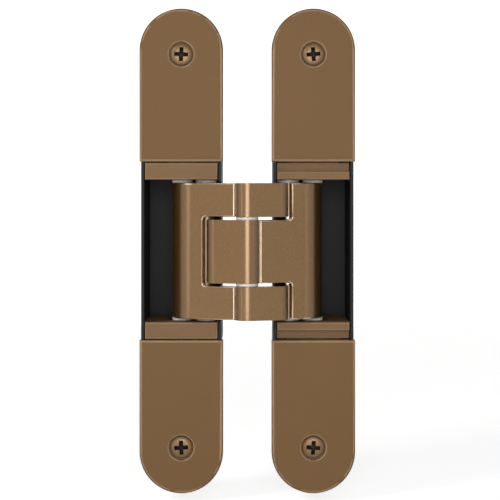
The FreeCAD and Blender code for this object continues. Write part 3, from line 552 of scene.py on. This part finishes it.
# Geometry trees for turned pieces that repeat
class GeometryTree:
    """A geometry node tree with named inputs, whose result becomes a plain mesh."""

    def __init__(self, name: str) -> None:
        """Make the empty tree with its input and output nodes.

        Args:
            name: The tree's name.
        """
        self.tree = bpy.data.node_groups.new(name, "GeometryNodeTree")
        self.tree.interface.new_socket("Geometry", in_out="INPUT", socket_type="NodeSocketGeometry")
        self.tree.interface.new_socket("Geometry", in_out="OUTPUT", socket_type="NodeSocketGeometry")
        self.inputs = self.tree.nodes.new("NodeGroupInput")
        self.outputs = self.tree.nodes.new("NodeGroupOutput")

    def takes(self, name: str, kind: str, value: object = None) -> bpy.types.NodeSocket:
        """Add a named input.

        Args:
            name: The socket's name.
            kind: Float, Int, Vector or Material.
            value: Its default value.

        Returns:
            The group input's socket.
        """
        socket = self.tree.interface.new_socket(name, in_out="INPUT", socket_type="NodeSocket" + kind)
        if value is not None:
            socket.default_value = value
        return self.inputs.outputs[name]

    def node(self, kind: str, **settings: object) -> bpy.types.Node:
        """Add a node by its full type name, with properties."""
        made = self.tree.nodes.new(kind)
        for key, value in settings.items():
            setattr(made, key, value)
        return made

    def join(self, pairs: dict[bpy.types.NodeSocket, object]) -> None:
        """Link sockets to sockets, or give them values.

        Args:
            pairs: What each input socket takes.
        """
        for target, value in pairs.items():
            if isinstance(value, bpy.types.NodeSocket):
                self.tree.links.new(value, target)
            else:
                target.default_value = value

    def math(self, operation: str, first: object, second: object = 0.0) -> bpy.types.NodeSocket:
        """Add a math node and give its output."""
        made = self.node("ShaderNodeMath", operation=operation)
        self.join({made.inputs[0]: first, made.inputs[1]: second})
        return made.outputs[0]

    def vector(self, x: object, y: object, z: object) -> bpy.types.NodeSocket:
        """Combine three values into a vector."""
        made = self.node("ShaderNodeCombineXYZ")
        self.join({made.inputs[0]: x, made.inputs[1]: y, made.inputs[2]: z})
        return made.outputs[0]

    def finish(self, geometry: bpy.types.NodeSocket, material: bpy.types.NodeSocket) -> None:
        """End the tree in Realize Instances and Set Material.

        Args:
            geometry: What the tree has made.
            material: The socket that gives the material.
        """
        real = self.node("GeometryNodeRealizeInstances")
        dress = self.node("GeometryNodeSetMaterial")
        self.join({real.inputs["Geometry"]: geometry, dress.inputs["Geometry"]: real.outputs[0],
                   dress.inputs["Material"]: material, self.outputs.inputs["Geometry"]: dress.outputs[0]})

    def run(self, name: str, values: dict[str, object]) -> bpy.types.Object:
        """Make a piece with this tree.

        Args:
            name: The piece's name.
            values: A value for each named input.

        Returns:
            The piece, as a plain mesh at the origin.
        """
        piece = bpy.data.objects.new(name, bpy.data.meshes.new(name))
        modifier = piece.modifiers.new("tree", "NODES")
        modifier.node_group = self.tree
        keys = {item.name: item.identifier for item in self.tree.interface.items_tree
                if item.item_type == "SOCKET" and item.in_out == "INPUT"}
        for label, value in values.items():
            modifier[keys[label]] = value
        bpy.context.scene.collection.objects.link(piece)
        finished_mesh(piece)
        piece.data.shade_smooth()
        piece.data.set_sharp_from_angle(angle=math.radians(TURNED_SMOOTH_ANGLE))
        return piece


def build_ring_tree() -> GeometryTree:
    """Make the tree for a pair of flanged bushes, one above and one below.

    A bush is two turned rings with rounded edges: a flange and a sleeve.

    Returns:
        The tree.
    """
    tree = GeometryTree("flanged_bush_pair")
    bore = tree.takes("Bore Radius", "Float", 0.0025)
    edge = tree.takes("Edge", "Float", 0.00015)
    place = tree.takes("Place", "Vector", (0.0, 0.0, 0.0))
    rings = []
    sizes = []
    for part in ("Flange", "Sleeve"):
        sizes.append((tree.takes(part + " Radius", "Float", 0.0035),
                      tree.takes(part + " Low", "Float", 0.02),
                      tree.takes(part + " High", "Float", 0.021)))
    material = tree.takes("Material", "Material")
    for radius, low, high in sizes:
        middle = tree.math("MULTIPLY", tree.math("ADD", bore, radius), 0.5)
        path = tree.node("GeometryNodeCurvePrimitiveCircle", mode="RADIUS")
        section = tree.node("GeometryNodeCurvePrimitiveQuadrilateral")
        soften = tree.node("GeometryNodeFilletCurve", mode="POLY")
        sweep = tree.node("GeometryNodeCurveToMesh")
        lift = tree.node("GeometryNodeTransform")
        tree.join({
            path.inputs["Resolution"]: 72, path.inputs["Radius"]: middle,
            section.inputs["Width"]: tree.math("SUBTRACT", radius, bore),
            section.inputs["Height"]: tree.math("SUBTRACT", high, low),
            soften.inputs["Curve"]: section.outputs[0], soften.inputs["Radius"]: edge,
            soften.inputs["Count"]: 2,
            sweep.inputs["Curve"]: path.outputs[0], sweep.inputs["Profile Curve"]: soften.outputs[0],
            lift.inputs["Geometry"]: sweep.outputs[0],
            lift.inputs["Translation"]: tree.vector(
                0.0, 0.0, tree.math("MULTIPLY", tree.math("ADD", low, high), 0.5)),
        })
        rings.append(lift.outputs[0])
    bush = tree.node("GeometryNodeJoinGeometry")
    for ring in reversed(rings):
        tree.tree.links.new(ring, bush.inputs[0])
    over = tree.node("GeometryNodeTransform")
    over.inputs["Rotation"].default_value = (math.pi, 0.0, 0.0)
    tree.join({over.inputs["Geometry"]: bush.outputs[0]})
    both = tree.node("GeometryNodeJoinGeometry")
    tree.tree.links.new(bush.outputs[0], both.inputs[0])
    tree.tree.links.new(over.outputs[0], both.inputs[0])
    move = tree.node("GeometryNodeTransform")
    tree.join({move.inputs["Geometry"]: both.outputs[0], move.inputs["Translation"]: place})
    tree.finish(move.outputs[0], material)
    return tree


# Proportions of a cover screw, as shares of its own sizes
DOME_FROM = 0.45
DOME_POWER = 5.0
BLADE_MOUTH = 1.2
BLADE_NARROWING = 0.55
CORE_MOUTH = 0.52
CORE_FOOT = 0.06
CORE_DEPTH = 2.3
PIT_REACH = 0.1
RECESS_REACH = 0.56
RECESS_TOP = 0.3


def build_screw_tree() -> GeometryTree:
    """Make the tree for the two cover screws of a leaf: low domed heads with a cross recess.

    Returns:
        The tree.
    """
    tree = GeometryTree("cover_screw_pair")
    head_radius = tree.takes("Head Radius", "Float", 0.0035)
    head_height = tree.takes("Head Height", "Float", 0.0015)
    shank_radius = tree.takes("Shank Radius", "Float", 0.002)
    length = tree.takes("Length", "Float", 0.011)
    front = tree.takes("Front", "Float", 0.00035)
    drop = tree.takes("Dome Drop", "Float", 0.0005)
    span = tree.takes("Cross Span", "Float", 0.0042)
    width = tree.takes("Cross Width", "Float", 0.0008)
    depth = tree.takes("Cross Depth", "Float", 0.001)
    spacing = tree.takes("Spacing", "Float", 0.1298)
    middle = tree.takes("Middle", "Float", 0.0)
    turn = tree.takes("Turn", "Float", 0.1)
    material = tree.takes("Material", "Material")

    head = tree.node("GeometryNodeMeshCylinder", fill_type="TRIANGLE_FAN")
    tree.join({head.inputs["Vertices"]: 64, head.inputs["Side Segments"]: 3,
               head.inputs["Fill Segments"]: 10, head.inputs["Radius"]: head_radius,
               head.inputs["Depth"]: head_height})
    where = tree.node("GeometryNodeInputPosition")
    parts = tree.node("ShaderNodeSeparateXYZ")
    tree.join({parts.inputs[0]: where.outputs[0]})
    flat = tree.vector(parts.outputs[0], parts.outputs[1], 0.0)
    reach = tree.node("ShaderNodeVectorMath", operation="LENGTH")
    tree.join({reach.inputs[0]: flat})
    share = tree.math("DIVIDE", reach.outputs["Value"], head_radius)
    front_side = tree.math("GREATER_THAN", parts.outputs[2],
                           tree.math("MULTIPLY", head_height, DOME_FROM))
    fall = tree.math("MULTIPLY", tree.math("POWER", share, DOME_POWER), drop)
    domed = tree.node("GeometryNodeSetPosition")
    tree.join({domed.inputs["Geometry"]: head.outputs["Mesh"],
               domed.inputs["Offset"]: tree.vector(
                   0.0, 0.0, tree.math("MULTIPLY", tree.math("MULTIPLY", fall, front_side), -1.0))})

    cutters = []
    for x_size, y_size in ((span, width), (width, span)):
        blade = tree.node("GeometryNodeMeshCube")
        tree.join({blade.inputs["Size"]: tree.vector(x_size, y_size,
                                                     tree.math("MULTIPLY", depth, 2.0))})
        spot = tree.node("GeometryNodeInputPosition")
        split = tree.node("ShaderNodeSeparateXYZ")
        tree.join({split.inputs[0]: spot.outputs[0]})
        deep = tree.math("LESS_THAN", split.outputs[2], 0.0)
        shrink = tree.math("SUBTRACT", BLADE_MOUTH, tree.math("MULTIPLY", deep, BLADE_NARROWING))
        taper = tree.node("GeometryNodeSetPosition")
        tree.join({taper.inputs["Geometry"]: blade.outputs["Mesh"],
                   taper.inputs["Position"]: tree.vector(
                       tree.math("MULTIPLY", split.outputs[0], shrink),
                       tree.math("MULTIPLY", split.outputs[1], shrink), split.outputs[2])})
        cutters.append(taper.outputs[0])
    core = tree.node("GeometryNodeMeshCone", fill_type="NGON")
    sink = tree.node("GeometryNodeTransform")
    core_depth = tree.math("MULTIPLY", depth, CORE_DEPTH)
    tree.join({core.inputs["Vertices"]: 4,
               core.inputs["Radius Top"]: tree.math("MULTIPLY", span, CORE_MOUTH),
               core.inputs["Radius Bottom"]: tree.math("MULTIPLY", span, CORE_FOOT),
               core.inputs["Depth"]: core_depth, sink.inputs["Geometry"]: core.outputs["Mesh"],
               sink.inputs["Translation"]: tree.vector(
                   0.0, 0.0, tree.math("MULTIPLY", core_depth, -0.5))})
    cutters.append(sink.outputs[0])
    recessed = domed.outputs[0]
    for cutter in cutters:
        lift = tree.node("GeometryNodeTransform")
        tree.join({lift.inputs["Geometry"]: cutter, lift.inputs["Translation"]: tree.vector(
            0.0, 0.0, tree.math("MULTIPLY", head_height, 0.5))})
        cut = tree.node("GeometryNodeMeshBoolean", operation="DIFFERENCE")
        cut.solver = "EXACT"
        tree.tree.links.new(recessed, cut.inputs[0])
        tree.tree.links.new(lift.outputs[0], cut.inputs[1])
        recessed = cut.outputs["Mesh"]

    shank = tree.node("GeometryNodeMeshCylinder", fill_type="TRIANGLE_FAN")
    shank_length = tree.math("SUBTRACT", length, head_height)
    tree.join({shank.inputs["Vertices"]: 32, shank.inputs["Radius"]: shank_radius,
               shank.inputs["Depth"]: shank_length})
    corner = tree.node("GeometryNodeInputPosition")
    apart = tree.node("ShaderNodeSeparateXYZ")
    off_axis = tree.node("ShaderNodeVectorMath", operation="LENGTH")
    tree.join({apart.inputs[0]: corner.outputs[0],
               off_axis.inputs[0]: tree.vector(apart.outputs[0], apart.outputs[1], 0.0)})
    on_axis = tree.math("LESS_THAN", off_axis.outputs["Value"],
                        tree.math("MULTIPLY", shank_radius, PIT_REACH))
    pit = tree.math("MULTIPLY", tree.math("MULTIPLY", on_axis, tree.math(
        "GREATER_THAN", apart.outputs[2], 0.0)), tree.math("MULTIPLY", depth, -1.0))
    pitted = tree.node("GeometryNodeSetPosition")
    tree.join({pitted.inputs["Geometry"]: shank.outputs["Mesh"],
               pitted.inputs["Offset"]: tree.vector(0.0, 0.0, pit)})
    lower = tree.node("GeometryNodeTransform")
    tree.join({lower.inputs["Geometry"]: pitted.outputs["Geometry"],
               lower.inputs["Translation"]: tree.vector(
                   0.0, 0.0, tree.math("MULTIPLY", tree.math("ADD", shank_length, head_height), -0.5))})
    screw = tree.node("GeometryNodeJoinGeometry")
    tree.tree.links.new(recessed, screw.inputs[0])
    tree.tree.links.new(lower.outputs[0], screw.inputs[0])
    face_place = tree.node("GeometryNodeInputPosition")
    face_axes = tree.node("ShaderNodeSeparateXYZ")
    outwards = tree.node("ShaderNodeVectorMath", operation="LENGTH")
    tree.join({face_axes.inputs[0]: face_place.outputs[0],
               outwards.inputs[0]: tree.vector(face_axes.outputs[0], face_axes.outputs[1], 0.0)})
    within = tree.math("LESS_THAN", outwards.outputs["Value"],
                       tree.math("MULTIPLY", span, RECESS_REACH))
    below = tree.math("LESS_THAN", face_axes.outputs[2],
                      tree.math("MULTIPLY", head_height, RECESS_TOP))
    above = tree.math("GREATER_THAN", face_axes.outputs[2],
                      tree.math("SUBTRACT", tree.math("MULTIPLY", head_height, -0.5), depth))
    # Faces inside the cross recess are marked for the screw finish's dark colour, a painted shade in the
    # recess.
    recess = tree.node("GeometryNodeStoreNamedAttribute", data_type="FLOAT", domain="FACE")
    tree.join({recess.inputs["Geometry"]: screw.outputs[0], recess.inputs["Name"]: WEAR_AND_PAINTED_LIGHT,
               recess.inputs["Value"]: tree.math(
                   "MULTIPLY", tree.math("MULTIPLY", within, below), above)})

    row = tree.node("GeometryNodeMeshLine", mode="OFFSET")
    half = tree.math("MULTIPLY", spacing, 0.5)
    depth_middle = tree.math("ADD", front, tree.math("MULTIPLY", head_height, 0.5))
    tree.join({row.inputs["Count"]: 2,
               row.inputs["Start Location"]: tree.vector(middle, depth_middle,
                                                         tree.math("MULTIPLY", half, -1.0)),
               row.inputs["Offset"]: tree.vector(0.0, 0.0, spacing)})
    index = tree.node("GeometryNodeInputIndex")
    spin = tree.math("MULTIPLY", tree.math("SUBTRACT", index.outputs[0], 0.5), turn)
    place = tree.node("GeometryNodeInstanceOnPoints")
    euler = tree.node("FunctionNodeEulerToRotation")
    tree.join({euler.inputs[0]: tree.vector(math.pi / 2.0, spin, 0.0),
               place.inputs["Points"]: row.outputs["Mesh"], place.inputs["Instance"]: recess.outputs[0],
               place.inputs["Rotation"]: euler.outputs[0]})
    tree.finish(place.outputs[0], material)
    return tree


# Sub-assemblies
@dataclass
class Leaves:
    """The two leaves: castings, cover plates and their screws."""

    pitch: float = 43.6 * MM
    screw_spacing: float = 129.8 * MM
    cover_edge: float = 0.0001
    casting_edge: float = 0.00018

    def build(self, finisher: Finisher) -> list[bpy.types.Object]:
        """Build and dress the pieces of both leaves."""
        made = []
        screws = build_screw_tree()
        for leaf in Leaf:
            body = leaf.value + "_leaf"
            made.append(CastPiece(leaf.value + "_housing", body, "black_casting", BLACK_CASTING,
                                  edge=self.casting_edge).build(finisher))
            for end in End:
                made.append(CastPiece(f"{leaf.value}_cover_{end.value}", body, "bronze_lacquer",
                                      PLATE_LACQUER, edge=self.cover_edge).build(finisher))
            made.append(self.screws(leaf, screws, finisher))
        made.append(CadPiece("height_clamp_screws", PLATED_STEEL).build(finisher))
        return made

    def screws(self, leaf: Leaf, tree: GeometryTree, finisher: Finisher) -> bpy.types.Object:
        """Make the two cover screws of a leaf.

        Args:
            leaf: Which leaf they hold.
            tree: The screw tree.
            finisher: Makes the material.

        Returns:
            The pair of screws.
        """
        middle = 0.0 if leaf is Leaf.FRAME else self.pitch
        turn = 0.12 if leaf is Leaf.FRAME else -0.16
        pair = tree.run(f"{leaf.value}_cover_screws_dressed", {
            "Head Radius": 3.5 * MM, "Head Height": 1.5 * MM, "Shank Radius": 2.0 * MM,
            "Length": 11.0 * MM, "Front": 0.35 * MM, "Dome Drop": 0.5 * MM, "Cross Span": 5.0 * MM,
            "Cross Width": 1.45 * MM, "Cross Depth": 1.9 * MM, "Spacing": self.screw_spacing,
            "Middle": middle, "Turn": turn, "Material": finisher.material(SCREW_LACQUER)})
        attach(pair, leaf.value + "_leaf")
        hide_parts(leaf.value + "_cover_screws")
        return pair


@dataclass
class Carriers:
    """The four carriers and the side spindles with their clips; the bushes pressed into the carriers come
    with the linkage.
    """

    edge: float = 0.0001

    def build(self, finisher: Finisher) -> list[bpy.types.Object]:
        """Build and dress the carriers and what adjusts them."""
        made = []
        for leaf in Leaf:
            for end in End:
                made.append(CastPiece(f"{leaf.value}_carrier_{end.value}", leaf.value + "_carriers",
                                      "bronze_lacquer", CARRIER_LACQUER, edge=self.edge).build(finisher))
        for end in End:
            made.append(CadPiece(f"side_spindle_{end.value}", PLATED_STEEL).build(finisher))
            made.append(CadPiece(f"spindle_clip_{end.value}", PLATED_STEEL).build(finisher))
        return made


@dataclass
class Linkage:
    """The fork arm and the tongue arm, with their pins, bushes and guide rollers."""

    pitch: float = 43.6 * MM
    pivot_offset: float = 8.2 * MM
    pivot_depth: float = 8.0 * MM
    slider_depth: float = 9.0687197 * MM
    pin_out: float = 4.0 * MM
    arm_height: float = 22.4 * MM
    face_gap: float = 0.05 * MM
    flange: float = 1.0 * MM
    arm_edge: float = 0.00018

    def build(self, finisher: Finisher) -> list[bpy.types.Object]:
        """Build and dress the arms, then the bushes and rollers from one tree."""
        made = [CastPiece(arm, arm, "bronze_lacquer", ARM_LACQUER, edge=self.arm_edge).build(finisher)
                for arm in ("fork_arm", "tongue_arm")]
        for pin in ("centre_pin", "frame_pivot_pin", "door_pivot_pin", "frame_slide_pin",
                    "door_slide_pin"):
            made.append(CadPiece(pin, GROUND_STEEL).build(finisher))
        tree = build_ring_tree()
        low = self.arm_height + self.face_gap
        top = self.arm_height + self.flange + 2.0 * self.face_gap + 5.0 * MM
        for leaf in Leaf:
            mirror = 1.0 if leaf is Leaf.FRAME else -1.0
            start = 0.0 if leaf is Leaf.FRAME else self.pitch
            made.append(self.bushes(
                tree, f"{leaf.value}_pivot_bushes", leaf.value + "_carriers", finisher,
                (start + mirror * self.pivot_offset, self.pivot_depth), 2.54, 3.75,
                low, 3.3, low, top))
            made.append(self.bushes(
                tree, f"{leaf.value}_guide_rollers", f"{leaf.value}_guide_rollers", finisher,
                (start, self.slider_depth), 2.04, 3.45, low, 3.0, low, top - 0.1 * MM))
        made.append(self.bushes(
            tree, "centre_bushes", "tongue_arm", finisher, (self.pitch / 2.0, -self.pin_out),
            2.54, 3.65, 10.35 * MM, 3.1, 4.35 * MM, 10.36 * MM, flange_high=11.3 * MM))
        return made

    def bushes(self, tree: GeometryTree, node: str, body: str, finisher: Finisher,
               place: tuple[float, float], bore: float, flange_radius: float, flange_low: float,
               sleeve_radius: float, sleeve_low: float, sleeve_high: float,
               flange_high: float | None = None) -> bpy.types.Object:
        """Make one pair of bushes.

        Args:
            tree: The bush tree.
            node: The CAD node that the pair stands for.
            body: The body that it rides on.
            finisher: Makes the material.
            place: X and Y of the axis.
            bore: Bore radius in millimetres.
            flange_radius: Flange radius in millimetres.
            flange_low: Z of the flange's lower face.
            sleeve_radius: Sleeve radius in millimetres.
            sleeve_low: Z of the sleeve's lower end.
            sleeve_high: Z of the sleeve's upper end.
            flange_high: Z of the flange's upper face, one flange thickness up if not given.

        Returns:
            The pair of bushes.
        """
        pair = tree.run(node + "_dressed", {
            "Bore Radius": bore * MM, "Edge": 0.26 * MM, "Place": (place[0], place[1], 0.0),
            "Flange Radius": flange_radius * MM, "Flange Low": flange_low,
            "Flange High": flange_low + self.flange if flange_high is None else flange_high,
            "Sleeve Radius": sleeve_radius * MM, "Sleeve Low": sleeve_low, "Sleeve High": sleeve_high,
            "Material": finisher.material(WHITE_POLYMER)})
        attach(pair, body)
        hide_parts(node)
        return pair


# Studio
# Each lamp's name, place, width and height, and watts
LAMPS = (
    ("key", (-0.5, -0.4, 0.44), (0.24, 0.24), 1.35),
    ("front", (0.024, -0.56, 0.06), (0.28, 0.27), 1.5),
    ("left_strip", (-0.42, -0.33, 0.04), (0.08, 0.5), 0.3),
    ("right_strip", (0.47, -0.33, 0.04), (0.08, 0.5), 0.12),
)


@dataclass
class Studio:
    """The camera, the lamps, the pale floor and the white backdrop."""

    distance: float = 490.0 * MM
    eye_height: float = 22.4 * MM
    middle: float = 22.69 * MM
    per_pixel: float = 0.3296 * MM
    picture: int = 500
    middle_height: float = 0.33 * MM
    floor_height: float = -82.8 * MM
    floor_glow: float = 0.76
    backdrop_glow: float = 1.0
    sensor: float = 36.0
    aim: Point = (0.0218, 0.0, 0.0)
    dim: tuple[float, float, float, float] = (0.04, 0.04, 0.0405, 1.0)

    def camera(self) -> None:
        """Set the camera level at the photograph's place, with the shift that its framing needs."""
        data = bpy.data.cameras.new("camera")
        data.sensor_width = self.sensor
        data.lens = self.distance / (self.picture * self.per_pixel) * data.sensor_width
        data.shift_y = (self.middle_height - self.eye_height) / (self.picture * self.per_pixel)
        data.clip_start, data.clip_end = 0.01, 20.0
        eye = bpy.data.objects.new("camera", data)
        eye.location = (self.middle, -self.distance, self.eye_height)
        eye.rotation_euler = (math.pi / 2.0, 0.0, 0.0)
        bpy.context.scene.collection.objects.link(eye)
        bpy.context.scene.camera = eye

    def lamp(self, name: str, place: Point, size: tuple[float, float], watts: float) -> None:
        """Set a soft rectangular lamp that faces the middle of the hinge.

        Args:
            name: The lamp's name.
            place: Where it hangs.
            size: Its width and height.
            watts: Its power.
        """
        data = bpy.data.lights.new(name, "AREA")
        data.shape = "RECTANGLE"
        data.size, data.size_y = size
        data.energy = watts
        lamp = bpy.data.objects.new(name, data)
        lamp.location = place
        lamp.rotation_euler = (Vector(self.aim) - Vector(place)).to_track_quat("-Z", "Y").to_euler()
        lamp.visible_camera = False
        bpy.context.scene.collection.objects.link(lamp)

    def white_card(self, name: str, glow: float) -> bpy.types.Material:
        """Make a material that shows white to the camera and in reflections.

        The plain lit surface adds to the glow, so a shadow on the card still shows.

        Args:
            name: The material's name.
            glow: How white the card is by itself, where 1 is white.

        Returns:
            The material.
        """
        material = bpy.data.materials.new(name)
        material.use_nodes = True
        nodes, links = material.node_tree.nodes, material.node_tree.links
        plain = nodes["Principled BSDF"]
        plain.inputs["Base Color"].default_value = (0.9, 0.9, 0.89, 1.0)
        plain.inputs["Roughness"].default_value = 0.9
        emission = nodes.new("ShaderNodeEmission")
        share = nodes.new("ShaderNodeMath")
        share.operation = "MULTIPLY"
        share.inputs[1].default_value = glow
        links.new(self.seen(material.node_tree), share.inputs[0])
        links.new(share.outputs[0], emission.inputs["Strength"])
        both = nodes.new("ShaderNodeAddShader")
        links.new(plain.outputs[0], both.inputs[0])
        links.new(emission.outputs[0], both.inputs[1])
        links.new(both.outputs[0], nodes["Material Output"].inputs["Surface"])
        return material

    def seen(self, tree: bpy.types.NodeTree) -> bpy.types.NodeSocket:
        """Add what is 1 for the rays that show the background, and 0 for those that light it.

        Args:
            tree: The node tree of a material or the world.

        Returns:
            The socket that gives it.
        """
        path = tree.nodes.new("ShaderNodeLightPath")
        socket = path.outputs["Is Camera Ray"]
        for ray in ("Is Glossy Ray", "Is Transmission Ray"):
            most = tree.nodes.new("ShaderNodeMath")
            most.operation = "MAXIMUM"
            tree.links.new(socket, most.inputs[0])
            tree.links.new(path.outputs[ray], most.inputs[1])
            socket = most.outputs[0]
        return socket

    def card(self, name: str, corners: list[Point], glow: float) -> None:
        """Set a flat stage piece from its corners."""
        mesh = bpy.data.meshes.new(name)
        mesh.from_pydata(corners, [], [tuple(range(len(corners)))])
        mesh.materials.append(self.white_card(name, glow))
        piece = bpy.data.objects.new(name, mesh)
        bpy.context.scene.collection.objects.link(piece)

    def world(self) -> None:
        """Light the hinge from all round, with white behind it to the camera's eye."""
        world = bpy.data.worlds.new("studio")
        bpy.context.scene.world = world
        world.use_nodes = True
        nodes, links = world.node_tree.nodes, world.node_tree.links
        ground = nodes["Background"]
        ground.inputs["Color"].default_value = self.dim
        white = nodes.new("ShaderNodeBackground")
        white.inputs["Color"].default_value = (1.0, 1.0, 1.0, 1.0)
        mix = nodes.new("ShaderNodeMixShader")
        links.new(self.seen(world.node_tree), mix.inputs[0])
        links.new(ground.outputs[0], mix.inputs[1])
        links.new(white.outputs[0], mix.inputs[2])
        links.new(mix.outputs[0], nodes["World Output"].inputs["Surface"])

    def build(self) -> None:
        """Set up the whole studio."""
        self.camera()
        self.world()
        z = self.floor_height
        self.card("floor", [(-1.5, -1.2, z), (1.5, -1.2, z), (1.5, 1.2, z), (-1.5, 1.2, z)],
                  self.floor_glow)
        self.card("backdrop", [(-1.5, 0.6, z), (1.5, 0.6, z), (1.5, 0.6, 1.5), (-1.5, 0.6, 1.5)],
                  self.backdrop_glow)
        for name, place, size, watts in LAMPS:
            self.lamp(name, place, size, watts)
        bpy.context.scene.view_settings.view_transform = "Standard"


FRAME: dict = {}


def main() -> None:
    """Build the studio and every sub-assembly in order."""
    logging.basicConfig(level=logging.INFO, format="%(name)s: %(message)s")
    FRAME.update(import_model())
    Studio().build()
    finisher = Finisher()
    for assembly in (Leaves(), Carriers(), Linkage()):
        for piece in assembly.build(finisher):
            LOG.info("%s: %s, %d faces", type(assembly).__name__, piece.name,
                     len(piece.data.polygons))


if __name__ == "__main__":
    main()
